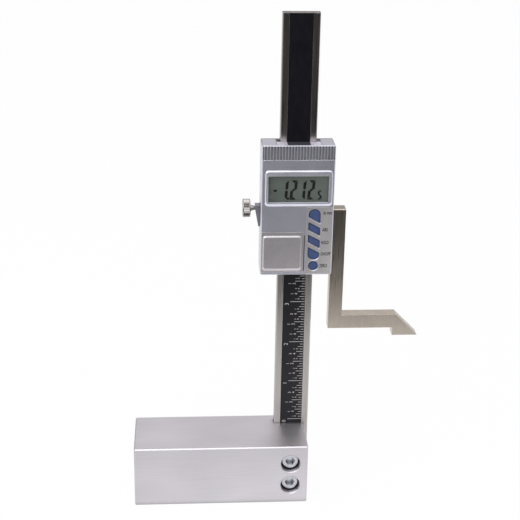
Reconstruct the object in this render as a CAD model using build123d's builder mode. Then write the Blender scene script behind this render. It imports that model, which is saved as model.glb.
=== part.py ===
from build123d import *
import math
import os

# Digital height gauge: an aluminium base block, a steel beam with a scale let into it, and a
# slider with a display, keys, a lock screw and a scriber arm. All lengths are millimetres.
# +X is to the right, +Y to the back, +Z up. The origin is the centre of the base's underside.

# ---------------------------------------------------------------- driving dimensions

# Base block
base_length = 100.0
base_depth = 38.0
base_height = 37.0
base_edge_chamfer = 0.6
slot_floor = 2.0                # metal left under the foot of the beam
slot_side_gap = 0.1

# Beam
beam_width = 20.0
beam_thickness = 5.0
beam_length = 278.4
beam_overhang = 2.2             # how far the beam stands past the end of the base
beam_setback = 28.4             # from the base's front face to the beam's front face
beam_edge_chamfer = 0.4

# Scale let into the beam
scale_width = 12.5
scale_side_gap = 0.1
grating_thickness = 0.9
label_thickness = 0.25
label_recess = 0.15             # the label lies this far below the face of the beam
groove_rise = 30.0              # from the foot of the beam to the start of the groove
label_end_gap = 0.3

# Base screws, M6 socket heads
base_screw_radius = 3.0
base_head_radius = 5.0
base_head_height = 6.0
base_head_chamfer = 0.5
base_hex_across = 5.0
base_hex_depth = 3.0
base_screw_low = 11.7           # height of the lower screw
base_screw_pitch = 14.0
base_screw_offset = 2.1         # from the middle of the beam, towards the base
base_head_recess = 3.4
base_counterbore_gap = 0.5
base_counterbore_chamfer = 0.4
base_clearance_gap = 0.3
base_screw_engagement = 3.6

# Stop screw in the back of the beam
stop_screw_radius = 1.5
stop_head_radius = 2.75
stop_head_height = 1.6
stop_screw_depth = 3.0
stop_hex_across = 2.0
stop_hex_depth = 1.0
stop_inset = 9.0                # from the top of the beam
stop_gap = 0.4                  # left between the slider and the stop at the top of its travel

# Height at which the slider rests above the underside
slider_rest_height = 135.8

# Fits
running_gap = 0.05              # between sliding faces
seat_gap = 0.05                 # between a piece and its seat
thread_gap = 0.05               # round a screw in its thread
seam_gap = 0.12                 # at the visible seams of the case

# Case of the slider
front_wall = 1.5
side_wall = 1.4
end_wall = 1.5
case_reach = 8.3                # from the beam's front face to the case's front face
case_corner = 1.0
case_edge_chamfer = 0.5
case_offset = 0.3               # of the middle of the case, left of the middle of the beam
raised_bevel = 0.6              # round the top and sides of the raised parts of the case
raised_foot_bevel = 1.5         # along their lower edge
beam_notch_gap = 2.2            # beside the beam where it leaves the case
back_plate_thickness = 1.4

# Coin cell and its door
cell_radius = 10.0
cell_height = 3.2
cell_front_gap = 0.15
cell_left_margin = 2.6
cell_right_margin = 1.5
cell_end_margin = 1.8           # above and below the cell, inside the door's height
cell_side_gap = 0.25
pocket_wall = 0.8
pocket_floor = 0.65
contact_thickness = 0.3
contact_width = 4.0
door_bottom_margin = 1.9
door_rise = 0.8
door_pad_margin_left = 1.1
door_pad_margin_right = 1.3
door_pad_margin_bottom = 0.8
door_pad_margin_top = 2.1
door_pad_corner = 1.6
door_tongue = 0.7
door_lip_depth = 3.0

# Keys
key_width = 6.1
key_margin_left = 2.5           # from the door's seam to the keys
label_column = 7.3              # from the keys to the right edge of the case
key_bottom_margin = 2.8
zero_key_radius = 2.5
round_key_gap = 1.3
power_key_side = 4.0            # straight left side of the key above the round one
slanted_key_height = 4.1
slanted_key_gap = 3.25
key_slant = 3.35                # fall of the slanted edges over the width of a key
units_key_side = 1.4
key_recess = 0.3
key_hole_gap = 0.15
key_bevel = 0.35
key_flange = 0.5
key_flange_thickness = 0.6
key_cap_depth = 2.1
key_travel = 0.5
mat_gap = 0.05                  # left behind a key that is pressed all the way
mat_thickness = 0.8
switch_size = 3.4
overlay_thickness = 0.2
overlay_margin_left = 1.1
overlay_margin = 0.7
overlay_hole_gap = 0.6

# Display
bezel_gap = 2.1                 # from the top key to the bezel
bezel_margin_left = 1.9
bezel_margin_right = 1.0
bezel_rise = 0.8
bezel_corner = 2.0
bezel_bar_bottom = 2.4
bezel_bar_top = 3.1
bezel_bar_left = 1.8
bezel_bar_right = 2.3
window_height = 15.0
lens_overlap = 0.8
lens_thickness = 0.8
lens_cover = 0.3                # from the case's face down to the lens
lcd_thickness = 1.8
holder_bar = 1.6
zebra_height = 1.5
zebra_end_gap = 0.5

# Ribbed grip at the top of the case
grip_step = 5.7                 # from the bezel to the grip
grip_height = 7.8
grip_top_margin = 0.3
grip_side_margin = 0.5
grip_depth = 0.8
rib_count = 24
rib_share = 0.5                 # of the pitch that is rib
rib_height = 0.75

# Slider frame, back plate and gib
web_thickness = 1.35
gib_thickness = 1.0
gib_end_gap = 3.0
gib_edge_gap = 0.15
lug_outset = 2.0                # how far the top lugs reach beside the beam
lug_height = 8.4
wiper_height = 3.0
wiper_depth_low = 1.5
sensor_margin = 0.1
sensor_low = 8.0
sensor_high_gap = 12.0
board_thickness = 1.0
board_side_gap = 0.4
board_low_gap = 1.0
chip_radius = 4.0
chip_height = 1.2

# Lock screw, M2.5, its pad and the ear it passes through
lock_height = 36.1
lock_radius = 1.25
lock_pitch = 0.45
lock_stroke = 0.25
lock_tip_gap = 0.02
lock_pad_length = 4.9
knob_radius = 5.1
knob_width = 4.6
knob_chamfer = 0.4
knob_standoff = 2.35            # from the ear to the knob
ear_reach = 2.75
ear_end = 0.9                   # reach of the ear at its lower end
ear_top = 2.2                   # from the lock screw up to the top of the ear
ear_length = 12.3               # from the top of the ear down to where it ends
ear_setback = 0.2

# Small screws of the slider
gib_screw_radius = 1.0
gib_screw_low = 14.0
gib_screw_high = 54.0
gib_slot_width = 0.4
gib_access_gap = 0.3
case_screw_radius = 1.0
case_head_radius = 1.9
case_head_height = 1.3
case_boss_radius = 1.9
case_boss_gap = 0.3
case_screw_depth = 3.6          # into the boss
case_screw_rise = 4.0           # above the battery door
case_screw_drop = 5.3           # below the top of the case
plate_screw_radius = 1.25
plate_head_radius = 2.3
plate_screw_depth = 4.0
plate_screw_low = 6.0
plate_screw_drop = 12.6

# Scriber arm, ground from one bar
arm_width = 7.8
arm_depth = 7.3
arm_top_rise = 36.6             # above the bottom of the slider
arm_leg_length = 72.6
arm_bar_height = 8.1
arm_reach = 52.1                # from the case to the end of the foot
arm_foot_length = 14.6
arm_foot_drop = 4.85
arm_edge_chamfer = 0.4
arm_screw_radius = 1.5
arm_head_radius = 2.9
arm_screw_low = 12.0
arm_screw_pitch = 13.0
arm_screw_grip = 6.0            # into the slider frame
arm_hex_across = 2.0
arm_hex_depth = 1.6

# ---------------------------------------------------------------- derived places

base_front = -base_depth / 2
base_right = base_length / 2
beam_right = base_right + beam_overhang
beam_left = beam_right - beam_width
beam_x = (beam_left + beam_right) / 2
beam_front = base_front + beam_setback
beam_back = beam_front + beam_thickness
beam_bottom = slot_floor
beam_top = beam_bottom + beam_length
groove_bottom = beam_bottom + groove_rise
groove_depth = label_recess + label_thickness + grating_thickness
label_front = beam_front + label_recess

base_screw_x = beam_x - base_screw_offset
base_screw_points = [(base_screw_x, base_screw_low), (base_screw_x, base_screw_low + base_screw_pitch)]
base_head_front = base_front + base_head_recess
base_head_seat = base_head_front + base_head_height

# Slider: widths run from the left of the case, heights from its bottom
door_width = cell_left_margin + 2 * cell_radius + cell_right_margin
key_left = door_width + key_margin_left
case_width = key_left + key_width + label_column
case_left = beam_x - case_offset - case_width / 2
case_right = case_left + case_width
case_front = beam_front - case_reach
case_back = beam_back + running_gap
wall_back = case_front + front_wall
case_bottom = slider_rest_height


def across(width):
    """X of a place measured from the left side of the case."""
    return case_left + width


def up(height):
    """Z of a place measured from the bottom of the case."""
    return case_bottom + height


door_low = door_bottom_margin
door_high = door_low + 2 * cell_radius + 2 * cell_end_margin
cell_x = across(cell_left_margin + cell_radius)
cell_z = up((door_low + door_high) / 2)
zero_key_z = key_bottom_margin + zero_key_radius
power_arc_z = zero_key_z + zero_key_radius + round_key_gap + key_width / 2
power_left_top = power_arc_z + power_key_side
hold_left_low = power_left_top + slanted_key_gap
abs_left_low = hold_left_low + slanted_key_height + slanted_key_gap
units_left_low = abs_left_low + slanted_key_height + slanted_key_gap
units_arc_z = units_left_low + units_key_side
keys_top = units_arc_z + key_width / 2
bezel_low = keys_top + bezel_gap
window_low = bezel_low + bezel_bar_bottom
window_high = window_low + window_height
bezel_high = window_high + bezel_bar_top
grip_low = bezel_high + grip_step
grip_high = grip_low + grip_height
case_height = grip_high + grip_top_margin
window_left = bezel_margin_left + bezel_bar_left
window_right = case_width - bezel_margin_right - bezel_bar_right

frame_left = case_left + side_wall + seat_gap
frame_right = case_right - side_wall - seat_gap
frame_bottom = up(end_wall + seat_gap)
frame_top = up(case_height - end_wall - seat_gap)
web_back = beam_front - running_gap
web_front = web_back - web_thickness
channel_left = beam_left - running_gap - gib_thickness - seat_gap
channel_right = beam_right + running_gap
rail_y = (beam_front + beam_back) / 2
board_front = web_front - board_thickness
lens_front = case_front + lens_cover
lens_back = lens_front + lens_thickness
lcd_back = lens_back + lcd_thickness
pocket_front = wall_back + seat_gap
cell_front = wall_back + cell_front_gap
cell_back = cell_front + cell_height
pocket_back = cell_back + contact_thickness + seat_gap
key_front = case_front + key_recess
key_back = key_front + key_cap_depth
mat_front = key_back + key_travel + mat_gap
mat_back = mat_front + mat_thickness
wiper_half = scale_width / 2 - seat_gap
lug_front = wall_back + seat_gap
arm_back = case_back
arm_front = arm_back - arm_depth
arm_y = (arm_front + arm_back) / 2
arm_top = up(arm_top_rise)
arm_bar_low = arm_top - arm_leg_length
arm_bar_high = arm_bar_low + arm_bar_height
foot_z = arm_bar_low - arm_foot_drop
arm_tip_x = case_right + arm_reach
arm_screw_points = [(arm_y, up(arm_screw_low)), (arm_y, up(arm_screw_low + arm_screw_pitch))]
lock_z = up(lock_height)
ear_face = case_left - ear_reach
pad_right = beam_left - lock_stroke - lock_tip_gap
pad_left = pad_right - lock_pad_length
knob_right = ear_face - knob_standoff
knob_left = knob_right - knob_width
case_boss_x = side_wall + case_boss_radius + case_boss_gap
case_screw_points = [
    (across(width), up(height))
    for width in (case_boss_x, case_width - case_boss_x)
    for height in (door_high + case_screw_rise, case_height - case_screw_drop)
]
case_head_seat = case_back - case_head_height
left_rail_x = (frame_left + channel_left) / 2
right_rail_x = (frame_right + channel_right) / 2
plate_screw_points = [
    (x, up(height))
    for x in (left_rail_x, right_rail_x)
    for height in (plate_screw_low, case_height - plate_screw_drop)
]
gib_screw_points = [(rail_y, up(gib_screw_low)), (rail_y, up(gib_screw_high))]
stop_z = beam_top - stop_inset
travel_up = stop_z - stop_head_radius - stop_gap - up(case_height)
travel_down = min(foot_z, up(0) - base_height)


def facing(y):
    """Sketch plane that looks forwards from depth y: its axes are X and Z, and it extrudes to the front."""
    return Plane.XZ.offset(-y)


def from_left(x):
    """Sketch plane across X at x: its axes are Y and Z, and it extrudes to the right."""
    return Plane.YZ.offset(x)


def on_plane(plane, points):
    """Locations at points given in a plane's own two axes."""
    return Locations(*[plane.location * Location((u, v, 0)) for u, v in points])


def span(u, v, mode=Mode.ADD):
    """A rectangle from two (low, high) pairs, in the sketch being drawn."""
    with Locations(((u[0] + u[1]) / 2, (v[0] + v[1]) / 2)):
        Rectangle(u[1] - u[0], v[1] - v[0], mode=mode)


def block(x, y, z, mode=Mode.ADD):
    """A box from three (low, high) pairs, in the part being built."""
    with Locations(((x[0] + x[1]) / 2, (y[0] + y[1]) / 2, (z[0] + z[1]) / 2)):
        Box(x[1] - x[0], y[1] - y[0], z[1] - z[0], mode=mode)


def raise_pad(centre, size, rise, corner):
    """A bevelled pad raised on the face of the case, its lower bevel the broadest."""
    u, v = centre
    with BuildSketch(facing(case_front)) as foot:
        with Locations((u, v)):
            RectangleRounded(*size, corner)
    with BuildSketch(facing(case_front - rise)) as face:
        with Locations((u, v + (raised_foot_bevel - raised_bevel) / 2)):
            RectangleRounded(
                size[0] - 2 * raised_bevel,
                size[1] - raised_bevel - raised_foot_bevel,
                corner - raised_bevel / 2,
            )
    loft([foot.sketch.face(), face.sketch.face()])


def finish(builder, name):
    """Label a finished piece and write it to its own file."""
    builder.part.label = name
    export_step(builder.part, f"parts/{name}.step")


os.makedirs("parts", exist_ok=True)

# ---------------------------------------------------------------- base and beam

with BuildPart() as base_block:
    with BuildSketch(Plane.XY):
        Rectangle(base_length, base_depth)
    extrude(amount=base_height)
    chamfer(base_block.edges(), length=base_edge_chamfer)
    slot_left = beam_left - slot_side_gap
    block(
        (slot_left, base_right + base_edge_chamfer),
        (beam_front, beam_back + slot_side_gap),
        (slot_floor, base_height + base_edge_chamfer),
        Mode.SUBTRACT,
    )
    with on_plane(facing(base_front), base_screw_points):
        CounterBoreHole(
            base_screw_radius + base_clearance_gap,
            base_head_radius + base_counterbore_gap,
            base_head_seat - base_front,
            depth=beam_setback,
        )
    chamfer(
        base_block.edges().filter_by(GeomType.CIRCLE).group_by(Axis.Y)[0],
        length=base_counterbore_chamfer,
    )
finish(base_block, "base_block")

with BuildPart() as base_screws:
    with BuildSketch(facing(base_head_seat)):
        with Locations(*base_screw_points):
            Circle(base_head_radius)
    extrude(amount=base_head_height)
    chamfer(base_screws.edges().group_by(Axis.Y)[0], length=base_head_chamfer)
    with BuildSketch(facing(base_head_front)):
        with Locations(*base_screw_points):
            RegularPolygon(base_hex_across / 2, 6, major_radius=False)
    extrude(amount=-base_hex_depth, mode=Mode.SUBTRACT)
    with BuildSketch(facing(base_head_seat)):
        with Locations(*base_screw_points):
            Circle(base_screw_radius)
    extrude(amount=-(beam_front + base_screw_engagement - base_head_seat))
finish(base_screws, "base_screws")

with BuildPart() as beam:
    with BuildSketch(Plane.XY.offset(beam_bottom)):
        span((beam_left, beam_right), (beam_front, beam_back))
    extrude(amount=beam_length)
    chamfer(beam.edges().filter_by(Axis.Z), length=beam_edge_chamfer)
    groove_half = scale_width / 2 + scale_side_gap
    block(
        (beam_x - groove_half, beam_x + groove_half),
        (beam_front - running_gap, beam_front + groove_depth),
        (groove_bottom, beam_top + label_end_gap),
        Mode.SUBTRACT,
    )
    with on_plane(facing(beam_front), base_screw_points):
        Hole(base_screw_radius + thread_gap, depth=beam_thickness)
    with BuildSketch(facing(beam_back)):
        with Locations((beam_x, stop_z)):
            Circle(stop_screw_radius + thread_gap)
    extrude(amount=stop_screw_depth + seat_gap, mode=Mode.SUBTRACT)
finish(beam, "beam")

scale_span = (beam_x - scale_width / 2, beam_x + scale_width / 2)
scale_rise = (groove_bottom + label_end_gap, beam_top - label_end_gap)
label_back = label_front + label_thickness

with BuildPart() as scale_grating:
    block(scale_span, (label_back, beam_front + groove_depth), scale_rise)
finish(scale_grating, "scale_grating")

with BuildPart() as scale_label:
    block(scale_span, (label_front, label_back), scale_rise)
finish(scale_label, "scale_label")

with BuildPart() as beam_stop_screw:
    with BuildSketch(facing(beam_back)):
        with Locations((beam_x, stop_z)):
            Circle(stop_head_radius)
    extrude(amount=-stop_head_height)
    fillet(beam_stop_screw.edges().group_by(Axis.Y)[-1], radius=stop_head_height / 2)
    with BuildSketch(facing(beam_back + stop_head_height)):
        with Locations((beam_x, stop_z)):
            RegularPolygon(stop_hex_across / 2, 6, major_radius=False)
    extrude(amount=stop_hex_depth, mode=Mode.SUBTRACT)
    with BuildSketch(facing(beam_back)):
        with Locations((beam_x, stop_z)):
            Circle(stop_screw_radius)
    extrude(amount=stop_screw_depth)
finish(beam_stop_screw, "beam_stop_screw")

# ---------------------------------------------------------------- slider frame and what runs on the beam

ear_high = lock_z + ear_top
ear_low = ear_high - ear_length
ear_span = (rail_y - beam_thickness / 2 + ear_setback, rail_y + beam_thickness / 2 - ear_setback)
boss_span = (frame_bottom, arm_top - arm_edge_chamfer)

with BuildPart() as slider_frame:
    with BuildSketch(Plane.XY.offset(frame_bottom)):
        span((frame_left, frame_right), (web_front, case_back))
        span((channel_left, channel_right), (web_back, case_back), Mode.SUBTRACT)
    extrude(amount=frame_top - frame_bottom)
    # Two lugs stand in front of the steel strips of the beam, up through the top of the case.
    for side in (-1, 1):
        inner = beam_x + side * scale_width / 2
        outer = beam_x + side * (beam_width / 2 + lug_outset)
        block(
            (min(inner, outer), max(inner, outer)),
            (lug_front, web_back),
            (up(case_height - lug_height), up(case_height - seat_gap)),
        )
    # Boss that carries the scriber arm through the right side of the case.
    block((frame_right - side_wall, case_right), (web_front, case_back), boss_span)
    # Ear that carries the lock screw through the left side of the case.
    with BuildSketch(facing(ear_span[1])):
        with BuildLine():
            Polyline(
                (frame_left + side_wall, ear_high),
                (ear_face, ear_high),
                (ear_face, lock_z),
                (case_left - ear_end, ear_low),
                (frame_left + side_wall, ear_low),
                close=True,
            )
        make_face()
    extrude(amount=ear_span[1] - ear_span[0])
    # Window for the sensor plate and pockets for the two wipers.
    block(
        (beam_x - scale_width / 2, beam_x + scale_width / 2),
        (web_front - seat_gap, web_back + seat_gap),
        (up(sensor_low), up(case_height - sensor_high_gap)),
        Mode.SUBTRACT,
    )
    block(
        (beam_x - scale_width / 2, beam_x + scale_width / 2),
        (web_front - seat_gap, web_back + seat_gap),
        (frame_bottom - seat_gap, up(wiper_height + end_wall)),
        Mode.SUBTRACT,
    )
    block(
        (beam_x - scale_width / 2, beam_x + scale_width / 2),
        (web_front - seat_gap, web_back + seat_gap),
        (up(case_height - wiper_height), up(case_height)),
        Mode.SUBTRACT,
    )
    # Lock screw and gib screw bores through the left rail.
    with BuildSketch(from_left(ear_face - seat_gap)):
        with Locations((rail_y, lock_z)):
            Circle(lock_radius + thread_gap)
    extrude(amount=channel_left - ear_face + 2 * seat_gap, mode=Mode.SUBTRACT)
    with BuildSketch(from_left(frame_left - seat_gap)):
        with Locations(*gib_screw_points):
            Circle(gib_screw_radius + thread_gap)
    extrude(amount=channel_left - frame_left + 2 * seat_gap, mode=Mode.SUBTRACT)
    # Bores for the case screws, the back plate screws and the arm screws.
    with BuildSketch(facing(case_back)):
        with Locations(*case_screw_points):
            Circle(case_screw_radius + running_gap)
    extrude(amount=case_back - web_front + seat_gap, mode=Mode.SUBTRACT)
    with BuildSketch(facing(case_back)):
        with Locations(*case_screw_points):
            Circle(case_head_radius + seat_gap)
    extrude(amount=case_head_height, mode=Mode.SUBTRACT)
    with BuildSketch(facing(case_back)):
        with Locations(*plate_screw_points):
            Circle(plate_screw_radius + thread_gap)
    extrude(amount=plate_screw_depth, mode=Mode.SUBTRACT)
    with BuildSketch(from_left(case_right)):
        with Locations(*arm_screw_points):
            Circle(arm_screw_radius + thread_gap)
    extrude(amount=-arm_screw_grip - seat_gap, mode=Mode.SUBTRACT)
finish(slider_frame, "slider_frame")

with BuildPart() as gib_strip:
    gib_span = (rail_y - beam_thickness / 2 + gib_edge_gap, rail_y + beam_thickness / 2 - gib_edge_gap)
    block(
        (channel_left + seat_gap, beam_left - running_gap),
        gib_span,
        (up(gib_end_gap), up(case_height - gib_end_gap)),
    )
    with BuildSketch(from_left(channel_left)):
        with Locations((rail_y, lock_z)):
            Circle(lock_radius + 2 * thread_gap)
    extrude(amount=gib_thickness + 2 * seat_gap, mode=Mode.SUBTRACT)
finish(gib_strip, "gib_strip")

with BuildPart() as gib_screws:
    with BuildSketch(from_left(frame_left)):
        with Locations(*gib_screw_points):
            Circle(gib_screw_radius)
    extrude(amount=channel_left + seat_gap - frame_left)
    with BuildSketch(from_left(frame_left)):
        with Locations(*gib_screw_points):
            Rectangle(2 * gib_screw_radius + seat_gap, gib_slot_width)
    extrude(amount=gib_slot_width, mode=Mode.SUBTRACT)
finish(gib_screws, "gib_screws")

with BuildPart() as back_plate:
    with BuildSketch(facing(case_back)):
        with Locations(((case_left + case_right) / 2, up(case_height / 2))):
            RectangleRounded(case_width, case_height, case_corner)
    extrude(amount=-back_plate_thickness)
    for point in plate_screw_points:
        with BuildSketch(facing(case_back + back_plate_thickness)):
            with Locations(point):
                Circle(plate_head_radius + seat_gap)
        with BuildSketch(facing(case_back)):
            with Locations(point):
                Circle(plate_screw_radius + seat_gap)
        loft(mode=Mode.SUBTRACT)
finish(back_plate, "back_plate")

with BuildPart() as back_plate_screws:
    for point in plate_screw_points:
        with BuildSketch(facing(case_back + back_plate_thickness)):
            with Locations(point):
                Circle(plate_head_radius)
        with BuildSketch(facing(case_back)):
            with Locations(point):
                Circle(plate_screw_radius)
        loft()
    with BuildSketch(facing(case_back)):
        with Locations(*plate_screw_points):
            Circle(plate_screw_radius)
    extrude(amount=plate_screw_depth)
finish(back_plate_screws, "back_plate_screws")

with BuildPart() as wiper_top:
    block(
        (beam_x - wiper_half, beam_x + wiper_half),
        (lug_front, label_front - running_gap),
        (up(case_height - wiper_height) + seat_gap, up(case_height - 4 * seat_gap)),
    )
finish(wiper_top, "wiper_top")

with BuildPart() as wiper_bottom:
    block(
        (beam_x - wiper_half, beam_x + wiper_half),
        (label_front - running_gap - wiper_depth_low, label_front - running_gap),
        (up(end_wall) + seat_gap, up(wiper_height + end_wall) - seat_gap),
    )
finish(wiper_bottom, "wiper_bottom")

# ---------------------------------------------------------------- lock screw and pad

with BuildPart() as lock_pad:
    with BuildSketch(from_left(pad_left)):
        with Locations((rail_y, lock_z)):
            Circle(lock_radius)
    extrude(amount=lock_pad_length)
finish(lock_pad, "lock_pad")

with BuildPart() as lock_screw:
    with BuildSketch(from_left(knob_left)):
        with Locations((rail_y, lock_z)):
            Circle(knob_radius)
    extrude(amount=knob_width)
    chamfer(lock_screw.edges().filter_by(GeomType.CIRCLE), length=knob_chamfer)
    with BuildSketch(from_left(knob_right)):
        with Locations((rail_y, lock_z)):
            Circle(lock_radius)
    extrude(amount=pad_left - knob_right)
finish(lock_screw, "lock_screw")

# ---------------------------------------------------------------- keys: outlines shared by caps and holes


def slanted_key(left_low):
    """Outline of a key with parallel slanted ends, in X and Z; left_low is its lower left corner."""
    left = across(key_left)
    right = left + key_width
    low = up(left_low)
    high = low + slanted_key_height
    corners = [(left, low), (right, low - key_slant), (right, high - key_slant), (left, high)]
    return Polyline(*corners, close=True)


def units_key():
    """Outline of the top key: a half round above a slanted foot."""
    left = across(key_left)
    right = left + key_width
    low = up(units_left_low)
    arc_z = up(units_arc_z)
    arch = ThreePointArc((left, arc_z), ((left + right) / 2, arc_z + key_width / 2), (right, arc_z))
    return arch, Polyline((right, arc_z), (right, low - key_slant), (left, low), (left, arc_z))


def power_key():
    """Outline of the key above the round one: a slanted head on a half round."""
    left = across(key_left)
    right = left + key_width
    high = up(power_left_top)
    arc_z = up(power_arc_z)
    arch = ThreePointArc((left, arc_z), ((left + right) / 2, arc_z - key_width / 2), (right, arc_z))
    return arch, Polyline((right, arc_z), (right, high - key_slant), (left, high), (left, arc_z))


def zero_key():
    """Outline of the round bottom key."""
    return CenterArc((across(key_left + key_width / 2), up(zero_key_z)), zero_key_radius, 0, 360)


key_outlines = {
    "key_units": units_key,
    "key_abs": lambda: slanted_key(abs_left_low),
    "key_hold": lambda: slanted_key(hold_left_low),
    "key_power": power_key,
    "key_zero": zero_key,
}


def key_faces(growth):
    """The five key outlines as sketches, grown outwards by a margin."""
    sketches = []
    for outline in key_outlines.values():
        with BuildSketch(Plane.XZ, mode=Mode.PRIVATE) as shape:
            with BuildLine():
                outline()
            make_face()
            if growth:
                offset(amount=growth, kind=Kind.ARC)
        sketches.append(shape.sketch_local)
    return sketches


cap_faces = key_faces(0)
hole_faces = key_faces(key_hole_gap)
bevel_faces = key_faces(key_hole_gap + key_bevel)
overlay_holes = key_faces(overlay_hole_gap)
flange_faces = key_faces(key_flange)

for name, cap, flange in zip(key_outlines, cap_faces, flange_faces):
    with BuildPart() as key:
        with BuildSketch(facing(key_back)):
            add(cap)
        extrude(amount=key_back - key_front)
        chamfer(key.faces().sort_by(Axis.Y)[0].edges(), length=key_recess / 2)
        with BuildSketch(facing(key_back)):
            add(flange)
        extrude(amount=key_flange_thickness)
    finish(key, name)

# ---------------------------------------------------------------- case

overlay_span = (across(door_width + overlay_margin_left), case_right - overlay_margin)
overlay_rise = (up(overlay_margin), up(bezel_low - overlay_margin))
overlay_back = case_front + overlay_thickness
lens_span = (across(window_left - lens_overlap), across(window_right + lens_overlap))
lens_rise = (up(window_low - lens_overlap), up(window_high + lens_overlap))
door_groove = (wall_back - door_tongue, wall_back + seat_gap)
door_lip_back = wall_back + door_lip_depth - front_wall + seam_gap

with BuildPart() as front_case:
    with BuildSketch(facing(case_back)):
        with Locations((across(case_width / 2), up(case_height / 2))):
            RectangleRounded(case_width, case_height, case_corner)
    extrude(amount=case_back - case_front)
    chamfer(front_case.faces().sort_by(Axis.Y)[0].edges(), length=case_edge_chamfer)
    # Raised bezel round the display.
    bezel_centre = (
        across((bezel_margin_left + case_width - bezel_margin_right) / 2),
        up((bezel_low + bezel_high) / 2),
    )
    bezel_size = (case_width - bezel_margin_left - bezel_margin_right, bezel_high - bezel_low)
    raise_pad(bezel_centre, bezel_size, bezel_rise, bezel_corner)
    # Hollow inside, open to the back.
    block(
        (across(side_wall), case_right - side_wall),
        (wall_back, case_back + seat_gap),
        (up(end_wall), up(case_height - end_wall)),
        Mode.SUBTRACT,
    )
    # Bosses for the case screws.
    with BuildSketch(facing(web_front)):
        with Locations(*case_screw_points):
            Circle(case_boss_radius)
    extrude(amount=web_front - wall_back)
    with BuildSketch(facing(web_front)):
        with Locations(*case_screw_points):
            Circle(case_screw_radius + thread_gap)
    extrude(amount=case_screw_depth + seat_gap, mode=Mode.SUBTRACT)
    # Pocket of the coin cell.
    block(
        (across(side_wall), across(door_width)),
        (pocket_front, pocket_back + pocket_floor),
        (up(door_low + pocket_wall), up(door_high - pocket_wall)),
    )
    block(
        (across(cell_left_margin - cell_side_gap), across(door_width - pocket_wall)),
        (case_front, pocket_back),
        (up(door_low + 2 * pocket_wall), up(door_high - 2 * pocket_wall)),
        Mode.SUBTRACT,
    )
    # Opening of the battery door, with its grooves, and the corner that the door wraps round.
    block(
        (case_left - seam_gap, across(door_width)),
        (case_front - seam_gap, pocket_front),
        (up(door_low), up(door_high)),
        Mode.SUBTRACT,
    )
    block(
        (case_left - seam_gap, across(door_width)),
        door_groove,
        (up(door_low - door_tongue), up(door_high + door_tongue)),
        Mode.SUBTRACT,
    )
    block(
        (case_left - seam_gap, across(side_wall + seam_gap)),
        (case_front - seam_gap, door_lip_back),
        (up(door_low), up(door_high)),
        Mode.SUBTRACT,
    )
    # Slots of the two battery contacts in the pocket's floor.
    block(
        (cell_x - contact_width / 2, cell_x + contact_width / 2),
        (pocket_back - seat_gap, board_front),
        (cell_z - contact_thickness, cell_z + contact_thickness),
        Mode.SUBTRACT,
    )
    pocket_right = across(door_width - pocket_wall)
    block(
        (pocket_right - contact_thickness - 2 * seat_gap, pocket_right),
        (pocket_back - seat_gap, board_front),
        (cell_z - contact_width / 2 - seat_gap, cell_z + contact_width / 2 + seat_gap),
        Mode.SUBTRACT,
    )
    # Window of the display and the seat behind it.
    block(
        (across(window_left), across(window_right)),
        (case_front - bezel_rise - seat_gap, wall_back),
        (up(window_low), up(window_high)),
        Mode.SUBTRACT,
    )
    block(lens_span, (lens_front, wall_back + seat_gap), lens_rise, Mode.SUBTRACT)
    # Seat of the key overlay, and the key holes with their bevels.
    block(overlay_span, (case_front - seat_gap, overlay_back), overlay_rise, Mode.SUBTRACT)
    for bevel, hole in zip(bevel_faces, hole_faces):
        with BuildSketch(facing(wall_back)):
            add(hole)
        extrude(amount=front_wall, mode=Mode.SUBTRACT)
        with BuildSketch(facing(overlay_back)):
            add(bevel)
        with BuildSketch(facing(overlay_back + key_bevel)):
            add(hole)
        loft(mode=Mode.SUBTRACT)
    # Ribbed grip across the top.
    grip_width = case_width - 2 * grip_side_margin
    rib_pitch = grip_width / rib_count
    block(
        (across(grip_side_margin), case_right - grip_side_margin),
        (case_front - seat_gap, case_front + grip_depth),
        (up(grip_low), up(grip_high)),
        Mode.SUBTRACT,
    )
    with BuildSketch(facing(case_front + grip_depth)):
        with Locations((across(case_width / 2), up((grip_low + grip_high) / 2))):
            with GridLocations(rib_pitch, 0, rib_count, 1):
                Rectangle(rib_pitch * rib_share, grip_height)
    extrude(amount=rib_height)
    # Notches where the beam passes through the two ends.
    notch_span = (beam_left - beam_notch_gap, beam_right + beam_notch_gap)
    block(
        notch_span,
        (wall_back, case_back + seat_gap),
        (up(case_height - end_wall), up(case_height)),
        Mode.SUBTRACT,
    )
    block(
        notch_span,
        (web_front - seat_gap, case_back + seat_gap),
        (up(-seat_gap), up(end_wall)),
        Mode.SUBTRACT,
    )
    # Openings for the ear, the arm boss and the gib screws.
    block(
        (case_left - seat_gap, across(side_wall)),
        (ear_span[0] - seam_gap, case_back + seat_gap),
        (ear_low - seam_gap, ear_high + seam_gap),
        Mode.SUBTRACT,
    )
    block(
        (case_right - side_wall, case_right + seat_gap),
        (web_front - seam_gap, case_back + seat_gap),
        (boss_span[0] - seam_gap, boss_span[1] + seam_gap),
        Mode.SUBTRACT,
    )
    with BuildSketch(from_left(case_left - seat_gap)):
        with Locations(*gib_screw_points):
            Circle(gib_screw_radius + gib_access_gap)
    extrude(amount=side_wall + 2 * seat_gap, mode=Mode.SUBTRACT)
finish(front_case, "front_case")

with BuildPart() as case_screws:
    with BuildSketch(facing(case_back)):
        with Locations(*case_screw_points):
            Circle(case_head_radius)
    extrude(amount=case_head_height)
    with BuildSketch(facing(case_head_seat)):
        with Locations(*case_screw_points):
            Circle(case_screw_radius)
    extrude(amount=case_head_seat - web_front + case_screw_depth)
finish(case_screws, "case_screws")

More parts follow.
